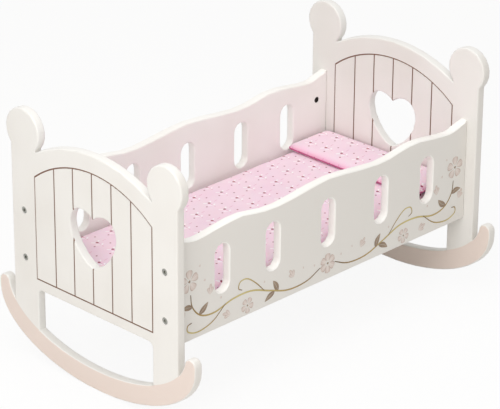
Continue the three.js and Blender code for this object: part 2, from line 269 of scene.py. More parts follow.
def outer_side_shade(finish, y, normal_y, low, high):
    return finish.smooth_step(y*normal_y, low, high)


print("peel lumps are about", round(1000/peel_scale, 1), "mm wide")


# %% [markdown]
# The end boards carry an engraved drawing of planks: five upright lines inside a border
# with an arched top. A cutter has run along each line, and the frame has these grooves
# as real cuts. What is left to the finish is the darker colour in them. Each line is a
# distance in the board's own plane, and the least of the distances gives the colour.

# %% Sizes of the engraving
plank_lines = 5
plank_pitch = 33.35*mm
border_half_width = 101.9*mm
board_middle = 266.0*mm
groove_reach = 4.9*mm
border_foot = 114.7*mm
border_crown = 285.9*mm
border_radius = 162.0*mm
line_half_width = 0.86*mm
line_softness = 0.12*mm
border_centre = border_crown - border_radius
groove_colour = colour("86624F")
out_of_reach = 1.0
print("the border is", round(2*border_half_width/mm), "mm wide, with", plank_lines, "lines inside")


def engraving(finish, x, y, z):
    """How much of a groove's colour there is at a point of an end board, from 0 to 1."""
    half = abs(y)
    ring = finish.maths("SQRT", y*y + (z - border_centre)*(z - border_centre))
    above_foot = z > border_foot
    under_arch = finish.maths("MAXIMUM", ring < border_radius, z < border_centre)
    inside_sides = half < border_half_width + line_half_width
    inside = above_foot*under_arch*inside_sides
    plank = abs(finish.maths("WRAP", y, plank_pitch/2, -plank_pitch/2))
    among_planks = half < plank_pitch*plank_lines/2
    upright = plank + out_of_reach*(1 - inside*among_planks)
    side = abs(half - border_half_width) + out_of_reach*(1 - inside)
    foot = abs(z - border_foot) + out_of_reach*(1 - inside_sides)
    arch = abs(ring - border_radius) + out_of_reach*(1 - inside_sides*(z > border_centre))
    straight = finish.maths("MINIMUM", upright, side)
    nearest = finish.maths("MINIMUM", straight, finish.maths("MINIMUM", foot, arch))
    line = 1 - finish.smooth_step(nearest, line_half_width, line_half_width + line_softness)
    return line*(abs(abs(x) - board_middle) > groove_reach)


# %% [markdown]
# The rockers are painted a dusty pink on the faces only, up to the line of the rocker's
# upper curve, which runs on across the legs. That curve is an ellipse. Its size is read
# from the frame, so the paint meets the edge of the opening exactly.

# %% Where the rocker's pink begins
board_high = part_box("footboard")[1]
panel_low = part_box("near_side_panel")[0]
rail_height = panel_low.z
rocker_arm = 17.0*mm
rocker_depth = 27.0*mm
curve_half_width = board_high.y - rocker_arm
curve_depth = rail_height - rocker_depth
rocker_pink = colour("E7D7CD")
edge_blend = 0.4*mm
print("the pink's curve reaches", round(rocker_depth/mm), "mm above the floor at its lowest")


def rocker_mask(finish, y, z, facing):
    across = y/curve_half_width
    down = finish.maths("MINIMUM", z - rail_height, 0.0)/curve_depth
    spread = finish.maths("SQRT", across*across + down*down)
    soft = edge_blend/curve_depth
    return finish.smooth_step(spread, 1 - soft, 1 + soft)*facing


# %% [markdown]
# An end board has all its colours in one finish, laid over each other as a painter would:
# the white of the faces, a cooler white on the cut edges, painted shade that makes an edge
# greyer where it looks outward, the rockers' pink, and last the engraved lines, whose cut
# fibres are duller. A face is where the normal points along the cradle.

# %% Paint of the end boards
face_from, face_full = 0.75, 0.95
outer_edge_from, outer_edge_full = 50*mm, 120*mm
duller_in_line = 0.25


def end_board_finish():
    finish = Finish("end_board_paint")
    place, base, roughness, peel = sprayed(finish)
    x, y, z = finish.split(place)
    normal = finish.normal()
    facing = finish.smooth_step(abs(normal[0]), face_from, face_full)
    pink = rocker_mask(finish, y, z, facing)
    line = engraving(finish, x, y, z)
    base = finish.mix(facing, board_edge, base)
    # painted shade: edges that look outward are made greyer
    outer = outer_side_shade(finish, y, normal[1], outer_edge_from, outer_edge_full)
    base = finish.mix(outer, base, print_ground_and_shade)
    base = finish.mix(pink, base, rocker_pink)
    base = finish.mix(line, base, groove_colour)
    return finish.finish(base, roughness + duller_in_line*line, peel, **peel_bump)


# %% [markdown]
# The side panels are a brighter white inside and on their edges, which is painted light,
# and the outer face is greyer, which is painted shade and also the ground of the print.
# Its place is read from the frame, so the change of colour falls on the rounded edge
# between the two.

# %% Paint of the side panels
outer_shade_from, outer_shade_full = 0.94, 0.98


def side_panel_finish():
    finish = Finish("side_panel_paint")
    # the brighter white of the inside and edges is painted light
    place, base, roughness, peel = sprayed(finish, panel_painted_light, panel_painted_light_drift)
    y = finish.split(place)[1]
    face_y = abs(panel_low.y)
    # painted shade on the outer face, also the ground of the print
    outer = outer_side_shade(finish, y, finish.normal()[1], outer_shade_from*face_y, outer_shade_full*face_y)
    base = finish.mix(outer, base, print_ground_and_shade)
    return finish.finish(base, roughness, peel, **peel_bump)


# %% Paint of the floor board
duller_inside = 0.15


def floor_board_finish():
    finish = Finish("floor_board_paint")
    base, roughness, peel = sprayed(finish)[1:]
    return finish.finish(base, roughness + duller_inside, peel, **peel_bump)


# %% [markdown]
# The bolts are zinc plated, which is bright with a fine grain. The barrel nuts sit in
# deep holes, and their near-black colour is painted shade for the depth of the holes.
# Both are bare metal, so one function makes both from two tones and a roughness.

# %% Steel of the bolts and nuts
grain_scale, patch_scale = 1800.0, 160.0


def steel_finish(name, light, dark, roughness):
    finish = Finish(name)
    place = finish.place()
    grain = finish.noise(place, grain_scale, 3.0)
    patch = finish.noise(place, patch_scale)
    base = finish.mix(patch, colour(light), colour(dark))
    return finish.finish(base, roughness + 0.2*grain, grain, strength=0.1, depth=0.1*mm, metallic=1.0)


# %% [markdown]
# The rigid nodes keep their meshes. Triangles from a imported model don't share corners,
# so a Weld modifier joins them again. Edge Split then parts them where a hole or groove
# meets a face at a right angle, and Weighted Normal shades the rounded edges as one soft
# curve while the broad faces stay flat.

# %% Dress the rigid nodes
def dress(name, material, soft_edges=False):
    node = nodes[name]
    node.material_slots[0].material = material
    if soft_edges:
        node.data.shade_smooth()
        weld = node.modifiers.new("weld", "WELD")
        weld.merge_threshold = 0.01*mm
        split = node.modifiers.new("sharp_rims", "EDGE_SPLIT")
        split.split_angle = math.radians(60)
        shading = node.modifiers.new("soft_edges", "WEIGHTED_NORMAL")
        shading.weight = 90


end_paint = end_board_finish()
side_paint = side_panel_finish()
floor_paint = floor_board_finish()
bolt_steel = steel_finish("zinc_plated_steel", "BDBDB6", "8F8F89", 0.2)
# the nuts' near-black steel is painted shade for their deep holes
nut_steel_painted_shade = steel_finish("nut_steel_in_painted_shade", "4A4642", "2E2B29", 0.5)
for name in nodes:
    if name in ("footboard", "headboard"):
        dress(name, end_paint, True)
    elif name.endswith("side_panel"):
        dress(name, side_paint, True)
    elif name == "floor_board":
        dress(name, floor_paint)
    elif name.startswith("bolt"):
        dress(name, bolt_steel)
    elif name.startswith("barrel"):
        dress(name, nut_steel_painted_shade)
print("dressed the rigid nodes")

# %% [markdown]
# The side panels carry a printed garland. Printing leaves a film of ink that stands
# almost nothing above the paint, so the print is a set of flat shapes a hair in front of
# the panel. Shapes have crisper edges than a pattern made in the paint's nodes, and they
# are drawn once for one half and then mirrored.

# %% A smooth curve through points
def smooth_curve(points, steps=14):
    """Points of a Catmull-Rom curve through the given ones."""
    ends = [points[0]*2 - points[1]] + points + [points[-1]*2 - points[-2]]
    curve = []
    for a, b, c, d in zip(ends, ends[1:], ends[2:], ends[3:]):
        for i in range(steps):
            t = i/steps
            curve.append(0.5*((2*b) + (c - a)*t + (2*a - 5*b + 4*c - d)*t**2 + (3*b - a - 3*c + d)*t**3))
    return curve + [points[-1]]


# %% [markdown]
# Each shape of the print is a flat strip of faces with its own ink. A strip is given as
# two borders, left and right. How far along it each pair lies goes into a UV map, so that
# the ink can change its tone from the root to the tip. Where a shape comes to a point,
# both borders end in the same place, and joining the two leaves no empty triangle.
# Strips drawn one after another lie a fiftieth of a millimetre apart, so that neither
# flickers where they cross.

# %% A pen that draws strips on a panel
ink_lift, ink_step, ink_layers = 0.12*mm, 0.02*mm, 4


class PrintPen:
    """Draws flat strips of ink into one mesh, in the panel's own x and z."""

    def __init__(self, name, face_y, outward):
        self.name = name
        self.mesh = bmesh.new()
        self.along = self.mesh.loops.layers.uv.new("along")
        self.face_y = face_y
        self.outward = outward
        self.layer = 0

    def strip(self, left, right, ink):
        y = self.face_y + self.outward*(ink_lift + ink_step*(self.layer % ink_layers))
        self.layer += 1
        rows = [[self.mesh.verts.new((p.x, y, p.y)) for p in pair] for pair in zip(left, right)]
        last = len(rows) - 1
        for i, (a, b) in enumerate(zip(rows, rows[1:])):
            face = self.mesh.faces.new((a[0], a[1], b[1], b[0]))
            face.material_index = ink
            face.normal_update()
            if face.normal.y*self.outward < 0:
                face.normal_flip()
            for loop in face.loops:
                row = i if loop.vert in a else i + 1
                side = 0.0 if loop.vert in (a[0], b[0]) else 1.0
                loop[self.along].uv = (row/last, side)

    def finish(self, inks):
        bmesh.ops.remove_doubles(self.mesh, verts=self.mesh.verts, dist=0.001*mm)
        data = bpy.data.meshes.new(self.name)
        self.mesh.to_mesh(data)
        self.mesh.free()
        for ink in inks:
            data.materials.append(ink)
        piece = bpy.data.objects.new(self.name, data)
        bpy.context.scene.collection.objects.link(piece)
        print(self.name, "has", len(data.polygons), "faces")
        return piece


# %% Stems, leaves, petals and dots
def flat(x, z):
    return Vector((x*mm, z*mm))


def sideways(curve, i):
    ahead = curve[min(i + 1, len(curve) - 1)] - curve[max(i - 1, 0)]
    return Vector((-ahead.y, ahead.x)).normalized()


def draw_stem(pen, points, widest, ink, tip=0.45, fullness=0.6):
    """A stem, widest in the middle and under half as wide at its ends."""
    curve = smooth_curve(points)
    last = len(curve) - 1
    swelling = [math.sin(math.pi*i/last)**fullness for i in range(last + 1)]
    half = [0.5*widest*mm*(tip + (1 - tip)*swell) for swell in swelling]
    left = [p + sideways(curve, i)*half[i] for i, p in enumerate(curve)]
    right = [p - sideways(curve, i)*half[i] for i, p in enumerate(curve)]
    pen.strip(left, right, ink)


def draw_leaf(pen, root, heading, length, width, bend, ink, steps=14):
    """A pointed leaf, widest before its middle, on a bent midrib."""
    forward = Vector((math.cos(heading), math.sin(heading)))
    across = Vector((-forward.y, forward.x))
    belly_shift, fullness, narrow_side = 0.8, 0.85, 0.85
    left, right = [], []
    for i in range(steps + 1):
        t = i/steps
        spine = root + forward*length*mm*t + across*bend*mm*math.sin(math.pi*t)
        half = 0.5*width*mm*math.sin(math.pi*t**belly_shift)**fullness
        left.append(spine + across*half)
        right.append(spine - across*half*narrow_side)
    pen.strip(left, right, ink)


def draw_petal(pen, root, heading, length, width, ink, steps=12):
    """A petal, narrow at its root and round at its tip."""
    forward = Vector((math.cos(heading), math.sin(heading)))
    across = Vector((-forward.y, forward.x))
    root_share, fullness = 0.35, 1.25
    left, right = [], []
    for i in range(steps + 1):
        t = i/steps
        oval = math.sqrt(max(0.0, 1 - (2*t - 1)**2))
        half = 0.5*width*mm*oval*(root_share + (1 - root_share)*t)*fullness
        spine = root + forward*length*mm*t
        left.append(spine + across*half)
        right.append(spine - across*half)
    pen.strip(left, right, ink)


def draw_dot(pen, centre, radius, ink):
    draw_petal(pen, centre - Vector((radius*mm, 0)), 0.0, 2*radius, 2*radius, ink)


def draw_blossom(pen, centre, radius, petals, turn, petal_ink, heart_ink):
    """Petals in a ring round a small heart, all as shares of the blossom's radius."""
    ring, length, width, heart = 0.2*radius, 0.8*radius, 0.78*radius, 0.13*radius
    for k in range(petals):
        heading = turn + 2*math.pi*k/petals
        root = centre + Vector((math.cos(heading), math.sin(heading)))*ring*mm
        draw_petal(pen, root, heading, length, width, petal_ink)
    draw_dot(pen, centre, heart, heart_ink)


# %% [markdown]
# The garland is a plain traditional one, alike to both sides of the middle. A blossom
# sits under the middle slot, a waving stem runs from it to each end, and it carries
# pairs of leaves, a curl, and blossoms where it rises beside the last slot. Places are in
# millimetres from the middle and from the floor, and the angles of leaves and buds in
# degrees. A stem has its points and greatest width, a leaf its root, angle, length and
# width, a bud its root and angle, a blossom its centre, radius, number of petals and turn
# in radians, and a dot its centre and radius.

# %% Places of the garland
main_stem = [(13, 120), (38, 110.5), (70, 110), (101, 119.5), (133, 130.5), (165, 131), (196, 124),
             (219, 128), (233, 143), (236, 160)]
curl_stem = [(112, 123.5), (126, 138), (141, 149), (153, 149), (156, 141), (150, 137)]
low_stem = [(178, 129), (200, 113), (224, 108), (240, 113), (241, 121), (234, 123)]
stems = [(main_stem, 2.3), (curl_stem, 1.7), (low_stem, 1.8)]
leaves = [(88, 114.5, 62, 19, 8.6), (94, 116, -26, 19, 8.2),
          (222, 130, 142, 19, 8.6), (233, 143, 8, 18, 8.0)]
leaf_bend = 1.2
buds = [(60, 124, 55), (170, 112, 20), (204, 150, 96), (247, 132, 62)]
bud_petals = [(-26, 10.36), (0, 14.0), (26, 10.36)]
bud_width = 4.4
blossoms = [(238, 178, 15.0, 5, 0.3), (141, 113.5, 10.5, 5, 0.9)]
middle_blossom = (0, 122, 13.5, 6, math.pi/6)
dots = [(24, 127, 1.4), (44, 131, 1.3), (112, 135, 1.4), (186, 140, 1.5), (213, 172, 1.6), (221, 193, 1.4)]
print("one half has", len(leaves), "leaves,", len(buds), "buds and", len(blossoms), "blossoms")

# %% Draw the garland
stem_ink, leaf_ink, petal_ink = 0, 1, 2


def draw_garland(name, face_y, outward, inks):
    pen = PrintPen(name, face_y, outward)
    for side in (1, -1):
        def at(x, z):
            return flat(side*x, z)

        def turned(angle):
            return angle if side == 1 else math.pi - angle

        for points, widest in stems:
            draw_stem(pen, [at(*point) for point in points], widest, stem_ink)
        for x, z, angle, length, width in leaves:
            heading = turned(math.radians(angle))
            draw_leaf(pen, at(x, z), heading, length, width, leaf_bend*side, leaf_ink)
        for x, z, angle in buds:
            for spread, length in bud_petals:
                heading = turned(math.radians(angle + spread))
                draw_petal(pen, at(x, z), heading, length, bud_width, petal_ink)
        for x, z, radius, petals, turn in blossoms:
            draw_blossom(pen, at(x, z), radius, petals, turned(turn), petal_ink, leaf_ink)
        for x, z, radius in dots:
            draw_dot(pen, at(x, z), radius, petal_ink)
    x, z, radius, petals, turn = middle_blossom
    draw_blossom(pen, flat(x, z), radius, petals, turn, petal_ink, leaf_ink)
    return pen.finish(inks)


# %% [markdown]
# The ink of a stem goes from dark brown at its root to gold in the middle and back. A
# ramp along the strip does that. Leaves are taupe and blossoms a pale rose grey that is
# stronger at the tips. Both have a pale rib down the middle, and a petal has a darker
# rim as well. All three inks let a little paint through, as screen print does.

# %% Inks of the print
rim_ink = colour("B79F93")
speck_share = 0.16
rib_edge, rim_edge = (0.03, 0.09), (0.33, 0.43)


def ink_finish(name, stops, rib=0.0, rim=0.0):
    """Ink whose ramp runs along a strip, with shares of a pale rib and of a dark rim."""
    finish = Finish(name)
    along = finish.split(finish.node("ShaderNodeUVMap", {"uv_map": "along"}).outputs["UV"])
    ramp = finish.node("ShaderNodeValToRGB", {"stops": stops}, {"Fac": along[0]})
    grain = finish.noise(finish.place(), 900.0, 2.0)
    speck = speck_share*finish.smooth_step(grain, 0.5, 0.75)
    off_middle = abs(along[1] - 0.5)
    on_rib = 1 - finish.smooth_step(off_middle, *rib_edge)
    on_rim = finish.smooth_step(off_middle, *rim_edge)
    base = finish.mix(rim*on_rim, ramp.outputs["Color"], rim_ink)
    base = finish.mix(finish.maths("MINIMUM", speck + rib*on_rib, 1.0), base, paint_white)
    roughness = 0.42 + 0.1*grain
    return finish.finish(base, roughness, grain, strength=0.05, depth=0.2*mm)


dark_ink, gold_ink, pale_gold_ink = colour("65492E"), colour("A98C50"), colour("CDBE7F")
stem_stops = [(0.0, dark_ink), (0.2, gold_ink), (0.5, pale_gold_ink), (0.78, gold_ink), (1.0, dark_ink)]
leaf_stops = [(0.0, colour("846B54")), (1.0, colour("A08B73"))]
petal_stops = [(0.0, colour("E6DCD4")), (0.5, colour("DDCFC7")), (1.0, colour("D3C1B7"))]
inks = [ink_finish("stem_ink", stem_stops), ink_finish("leaf_ink", leaf_stops, rib=0.25),
        ink_finish("petal_ink", petal_stops, rib=0.35, rim=0.7)]

# %% Print both side panels
far_panel_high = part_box("far_side_panel")[1]
printed_faces = [("near_garland_print", panel_low.y, -1), ("far_garland_print", far_panel_high.y, 1)]
for print_name, face_y, outward in printed_faces:
    garland = draw_garland(print_name, face_y, outward, inks)
    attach(garland, "frame")

# %% [markdown]
# The mattress is a slim foam pad in a cotton case. A case like this is cut as two panels
# and sewn all round at half its thickness. So the mesh is two grids that share one ring
# of points, the seam. The grid lines crowd towards the rim, where the cloth curves most.
# The lengths measured along the cloth go into a UV map, and the printed pattern follows
# it round the edge just as on the real case. The lower panel is cut elsewhere from the
# cloth, so its pattern is offset. Each pad has the seam's height as a share of its own,
# how far its rounding reaches in above and below, its corner radius, how much its sides
# and its corners are drawn in, how far its middle is crowned, and its grid spacing.

# %% A two-panel pad before it is filled
def grid_places(half, reach, spacing, rim_steps=7):
    """Places of the grid lines over one width, closer together near both rims."""
    rim = [half - reach*(1 - math.cos(math.radians(90)*i/rim_steps)) for i in range(rim_steps)]
    inner = half - reach
    cells = round(2*inner/spacing)
    middle = [-inner + 2*inner*i/cells for i in range(cells + 1)]
    return [-v for v in rim] + middle + rim[::-1]


def rise(distance, reach):
    """How much of its full thickness a pad has at this distance inside the seam."""
    share = min(max(distance/reach, 0.0), 1.0)
    return math.sqrt(1 - (1 - share)**2)


def rounded_corner(x, y, half_x, half_y, corner):
    """Moves a point near a square corner to where it is on a rounded one."""
    s, t = (abs(x) - half_x + corner)/corner, (abs(y) - half_y + corner)/corner
    if s <= 0 or t <= 0:
        return x, y
    new_x = half_x - corner + corner*s*math.sqrt(1 - t*t/2)
    new_y = half_y - corner + corner*t*math.sqrt(1 - s*s/2)
    return math.copysign(new_x, x), math.copysign(new_y, y)


def cloth_lengths(places, heights):
    """Lengths measured over the cloth from the first place to each one."""
    lengths = [0.0]
    for a, b, p, q in zip(places, places[1:], heights, heights[1:]):
        lengths.append(lengths[-1] + math.hypot(b - a, q - p))
    return lengths


# %% The pad's mesh
print_offset = 11*mm


class Pad:
    """Two sewn panels as one closed mesh, with its seam as the shared ring."""

    def __init__(self, name, low, high, seam_share, reach, under_reach, corner, draw_in, draw_back,
                 crown, spacing):
        self.name = name
        self.middle = (low + high)/2
        self.half_x, self.half_y = (high.x - low.x)/2, (high.y - low.y)/2
        self.seam_z = low.z + seam_share*(high.z - low.z)
        self.low_z, self.high_z = low.z, high.z
        self.xs = grid_places(self.half_x, reach, spacing)
        self.ys = grid_places(self.half_y, reach, spacing)
        self.reach, self.under_reach = reach, under_reach
        self.corner, self.draw_in, self.draw_back, self.crown = corner, draw_in, draw_back, crown
        self.build()

    def point(self, x, y, top):
        inside_x, inside_y = self.half_x - abs(x), self.half_y - abs(y)
        reach = self.reach if top else self.under_reach
        share = rise(inside_x, reach)*rise(inside_y, reach)
        along_x, along_y = x/self.half_x, y/self.half_y
        if top:
            body = self.high_z - self.crown - self.seam_z
            z = self.seam_z + share*(body + self.crown*(1 - along_x**2)*(1 - along_y**2))
        else:
            z = self.seam_z - share*(self.seam_z - self.low_z)
        px, py = rounded_corner(x, y, self.half_x, self.half_y, self.corner)
        px -= along_x**3*(self.draw_in*(1 - along_y**2) + self.draw_back*along_y**2)
        py -= along_y**3*self.draw_in*(1 - along_x**2)
        return Vector((self.middle.x + px, self.middle.y + py, z))

    def build(self):
        columns, rows = len(self.xs), len(self.ys)
        places, faces, cloth = [], [], []
        index = {}
        for top in (True, False):
            u = cloth_lengths(self.xs, [self.point(x, 0, top).z for x in self.xs])
            v = cloth_lengths(self.ys, [self.point(0, y, top).z for y in self.ys])
            for i, x in enumerate(self.xs):
                for j, y in enumerate(self.ys):
                    on_seam = i in (0, columns - 1) or j in (0, rows - 1)
                    key = (i, j, True if on_seam else top)
                    if key not in index:
                        index[key] = len(places)
                        places.append(self.point(x, y, top))
            for i in range(columns - 1):
                for j in range(rows - 1):
                    ring = [(i, j), (i + 1, j), (i + 1, j + 1), (i, j + 1)]
                    if not top:
                        ring = ring[::-1]
                    face = []
                    for a, b in ring:
                        on_seam = a in (0, columns - 1) or b in (0, rows - 1)
                        face.append(index[(a, b, True if on_seam else top)])
                        cloth.append((u[a] - u[-1]/2, v[b] - v[-1]/2 + (0.0 if top else print_offset)))
                    faces.append(face)
        self.data = bpy.data.meshes.new(self.name)
        self.data.from_pydata(places, [], faces)
        layer = self.data.uv_layers.new(name="cloth")
        for loop, place in zip(layer.data, cloth):
            loop.uv = place
        walk = [(i, 0) for i in range(columns)] + [(columns - 1, j) for j in range(1, rows)]
        walk += [(i, rows - 1) for i in range(columns - 2, -1, -1)] + [(0, j) for j in range(rows - 2, 0, -1)]
        self.ring = [index[(i, j, True)] for i, j in walk]
        self.piece = bpy.data.objects.new(self.name, self.data)
        bpy.context.scene.collection.objects.link(self.piece)
        print(self.name, "before filling:", len(places), "points,", len(self.ring), "on the seam")


# %% [markdown]
# The case is then filled. Blender's cloth takes the mesh as fabric and blows it up with a
# small pressure, while the ring of the seam shrinks a little, as gathered thread does.
# That gives the full middle and the drawn-in sides. An empty case would blow up like a
# balloon, but wadding holds it back, so every move is scaled down alike until the
# largest one is what the wadding allows. No weight acts on it, so it stays in place.

# %% Fill a pad
def fill(pad, pressure, gather, most, frames=20):
    piece, data = pad.piece, pad.data
    before = [v.co.copy() for v in data.vertices]
    group = piece.vertex_groups.new(name="seam")
    group.add(pad.ring, 1.0, "REPLACE")
    cloth = piece.modifiers.new("filling", "CLOTH")
    settings = cloth.settings
    settings.quality = 6
    settings.mass = 0.2
    settings.tension_stiffness = settings.compression_stiffness = 12
    settings.bending_stiffness = 0.4
    settings.effector_weights.gravity = 0
    settings.use_pressure = True
    settings.uniform_pressure_force = pressure
    settings.vertex_group_shrink = "seam"
    settings.shrink_min = 0.0
    settings.shrink_max = gather
    cloth.point_cache.frame_start, cloth.point_cache.frame_end = 1, frames
    for number in range(1, frames + 1):
        bpy.context.scene.frame_set(number)
    graph = bpy.context.evaluated_depsgraph_get()
    filled = [v.co.copy() for v in piece.evaluated_get(graph).data.vertices]
    piece.modifiers.remove(cloth)
    bpy.context.scene.frame_set(1)
    furthest = max((end - start).length for start, end in zip(before, filled))
    kept = min(1.0, most/furthest)
    for vertex, start, end in zip(data.vertices, before, filled):
        vertex.co = start + (end - start)*kept
    print(pad.name, "moved by up to", round(furthest/mm, 1), "mm, of which", round(kept, 2), "is kept")


# %% [markdown]
# Cloth still needs the small things that its grid can't hold: soft creases, and the
# stitches' pull at the seam. They are moves of the points along their normals, from
# noise with a fixed pattern. How near each point is to the seam is kept as an attribute,
# because the cotton paints shade there: a deeper pink near the seam, for the crease
# where the cloth turns under. Last, nothing may poke into what the pad lies on.

# %% Creases, seam and resting faces
wide_share, fine_share, fine_size = 0.75, 0.35, 0.35
stitch_pitch, seam_fade = 5*mm, 7*mm
fine_shift, stitch_shift = Vector((7, 3, 5)), Vector((2, 9, 4))
sliver = 0.01*mm


def settle(pad, crease_height, crease_size, pucker, seam_shade_reach, floor_under):
    data = pad.data
    ring = [data.vertices[i].co.copy() for i in pad.ring]
    seam = BVHTree.FromPolygons([p + Vector((0, 0, s)) for p in ring for s in (-sliver, sliver)],
                                [(2*i, 2*i + 1, 2*i) for i in range(len(ring))])
    normals = [v.normal.copy() for v in data.vertices]
    # the share of painted shade near the seam, kept for the cotton
    gathered = data.attributes.new("gathered", "FLOAT", "POINT")
    for vertex, normal in zip(data.vertices, normals):
        place = vertex.co
        nearest = seam.find_nearest(place)[3]
        gathered.data[vertex.index].value = math.exp(-(nearest/seam_shade_reach)**2)
        wide = noise.noise(place/crease_size)
        fine = noise.noise(place/(fine_size*crease_size) + fine_shift)
        ripple = noise.noise(Vector((place.x, place.y, 0))/stitch_pitch + stitch_shift)
        fade = math.exp(-nearest/seam_fade)
        crease = crease_height*(wide_share*wide + fine_share*fine)
        move = crease*(1 - fade) + pucker*fade*ripple
        vertex.co = place + normal*move
    for vertex in data.vertices:
        vertex.co.z = max(vertex.co.z, floor_under(vertex.co))
    smoothing = pad.piece.modifiers.new("smooth", "SUBSURF")
    smoothing.levels = smoothing.render_levels = 1
    graph = bpy.context.evaluated_depsgraph_get()
    smooth = pad.piece.evaluated_get(graph)
    finer = bpy.data.meshes.new_from_object(smooth, preserve_all_data_layers=True, depsgraph=graph)
    pad.piece.modifiers.clear()
    pad.piece.data = finer
    pad.piece.vertex_groups.clear()
    finer.shade_smooth()
    spans = [(round(min(c)/mm, 1), round(max(c)/mm, 1)) for c in zip(*(v.co for v in finer.vertices))]
    print(pad.name, "settled:", len(finer.polygons), "faces, from and to", spans, "mm")


# %% [markdown]
# The two panels of a case are joined by a corded seam: a thin cord in a folded strip of
# cloth, sewn in between them. It is a real bead round the pad, so it is a tube that
# follows the ring of the seam. Subdivision keeps the first points in their old order, so
# the ring is still known by its numbers.

# %% A corded seam
def sew_seam(pad, name, radius, sides=8):
    ring = [pad.piece.data.vertices[i].co for i in pad.ring]
    mesh = bmesh.new()
    loops = []
    for i, place in enumerate(ring):
        along = (ring[(i + 1) % len(ring)] - ring[i - 1]).normalized()
        outward = along.cross(Vector((0, 0, 1))).normalized()
        upward = outward.cross(along)
        turns = [2*math.pi*k/sides for k in range(sides)]
        spokes = [math.cos(t)*outward + math.sin(t)*upward for t in turns]
        loops.append([mesh.verts.new(place + radius*spoke) for spoke in spokes])
    for i, loop in enumerate(loops):
        onward = loops[(i + 1) % len(loops)]
        for k in range(sides):
            mesh.faces.new((loop[k], loop[(k + 1) % sides], onward[(k + 1) % sides], onward[k]))
    bmesh.ops.recalc_face_normals(mesh, faces=mesh.faces)
    data = bpy.data.meshes.new(name)
    mesh.to_mesh(data)
    mesh.free()
    data.shade_smooth()
    cord = bpy.data.objects.new(name, data)
    bpy.context.scene.collection.objects.link(cord)
    print(name, "has", len(data.polygons), "faces")
    return cord


# %% [markdown]
# The cotton is printed in pink with small sprigs in a half-drop repeat. A weave bump
# gives the cloth its soft look, with a sheen for the fuzz of fibres. The sprig is made
# from distances again: to four white leaves, to two thin stems, to a crimson dot and to
# two smaller ones. Its sizes are in millimetres of cloth. Each kind of stroke has a way
# to measure how far it is, its places, half its width, how well it covers, and its ink.

# %% Printed cotton
def near_line(finish, u, v, start, end):
    """Distance from a point of the cloth to a short stroke."""
    dx, dy = end[0] - start[0], end[1] - start[1]
    share = ((u - start[0])*dx + (v - start[1])*dy)/(dx*dx + dy*dy)
    share = finish.maths("MINIMUM", finish.maths("MAXIMUM", share, 0.0), 1.0)
    return finish.maths("SQRT", (u - start[0] - share*dx)**2 + (v - start[1] - share*dy)**2)


def near_dot(finish, u, v, centre_u, centre_v):
    return finish.maths("SQRT", (u - centre_u)**2 + (v - centre_v)**2)


def least(finish, values):
    smallest = values[0]
    for value in values[1:]:
        smallest = finish.maths("MINIMUM", smallest, value)
    return smallest


def stroke(finish, distance, half_width):
    return 1 - finish.smooth_step(distance, half_width*stroke_core, half_width*stroke_rim)


# %% Colours of the cotton
cotton_pink = colour("EDCDDD")
cotton_pale = colour("F1DBE5")
# painted shade: the deeper pink near the seams
cotton_seam_shade = colour("E58FB6")
sprig_white = colour("FBF3F7")
sprig_rose = colour("D06C9C")
dot_red = colour("8E0A3C")
seam_shade_cover = 0.7

# %% The sprig and the threads
repeat_u, repeat_v = 36.0, 28.0
stroke_core, stroke_rim = 0.75, 1.3
white_leaves = [((-0.5, -2.4), (-4.6, 0.8)), ((-0.9, -4.6), (3.6, -1.8)),
                ((3.4, 6.4), (6.4, 8.6)), ((-1.8, 7.0), (-4.4, 9.6))]
thin_stems = [((-1.2, -8.0), (0.6, 2.6)), ((9.0, 4.4), (14.6, 5.2))]
large_dots, small_dots = [(0.9, 5.4)], [(10.8, -7.6), (-9.4, -1.0)]
sprig = [(near_line, white_leaves, 0.95, 0.9, sprig_white), (near_line, thin_stems, 0.45, 0.5, sprig_rose),
         (near_dot, large_dots, 1.85, 0.95, dot_red), (near_dot, small_dots, 1.2, 0.85, dot_red)]
thread_wave = 12.0
slub_scale = 450.0
print("threads every", round(2*math.pi/thread_wave, 2), "mm")


def cotton_finish():
    finish = Finish("printed_cotton")
    cloth = finish.node("ShaderNodeUVMap", {"uv_map": "cloth"}).outputs["UV"]
    across, along = [length*(1/mm) for length in finish.split(cloth)[:2]]
    column = finish.maths("FLOOR", across/repeat_u)
    shift = finish.maths("MODULO", abs(column), 2.0)*(repeat_v/2)
    u = finish.maths("WRAP", across, repeat_u, 0.0) - repeat_u/2
    v = finish.maths("WRAP", along + shift, repeat_v, 0.0) - repeat_v/2
    drift = finish.noise(finish.place(), 30.0, 2.0)
    gathered = Wire(finish, finish.node("ShaderNodeAttribute", {"attribute_name": "gathered"}).outputs["Fac"])
    base = finish.mix(drift, cotton_pink, cotton_pale)
    # painted shade: deeper pink towards the seam
    base = finish.mix(seam_shade_cover*gathered, base, cotton_seam_shade)
    for distance, places, half_width, cover, ink in sprig:
        nearest = least(finish, [distance(finish, u, v, *place) for place in places])
        base = finish.mix(cover*stroke(finish, nearest, half_width), base, ink)
    threads = finish.maths("SINE", across*thread_wave)*finish.maths("SINE", along*thread_wave)
    slub = finish.noise(finish.place(), slub_scale, 3.0)
    roughness = 0.82 + 0.1*slub
    weave = 0.5*threads + slub
    return finish.finish(base, roughness, weave, strength=0.12, depth=0.25*mm, sheen_weight=0.15,
                         sheen_roughness=0.4, subsurface_weight=0.3,
                         subsurface_radius=(4*mm, 1.2*mm, 2*mm), subsurface_scale=1.0)


cotton = cotton_finish()


# %% [markdown]
# The cords of the seams are folded in plain cotton. The mattress has a pale one. The
# pillow's is a deep pink, which is painted shade: it draws the dark crease where the
# pillow meets the mattress.

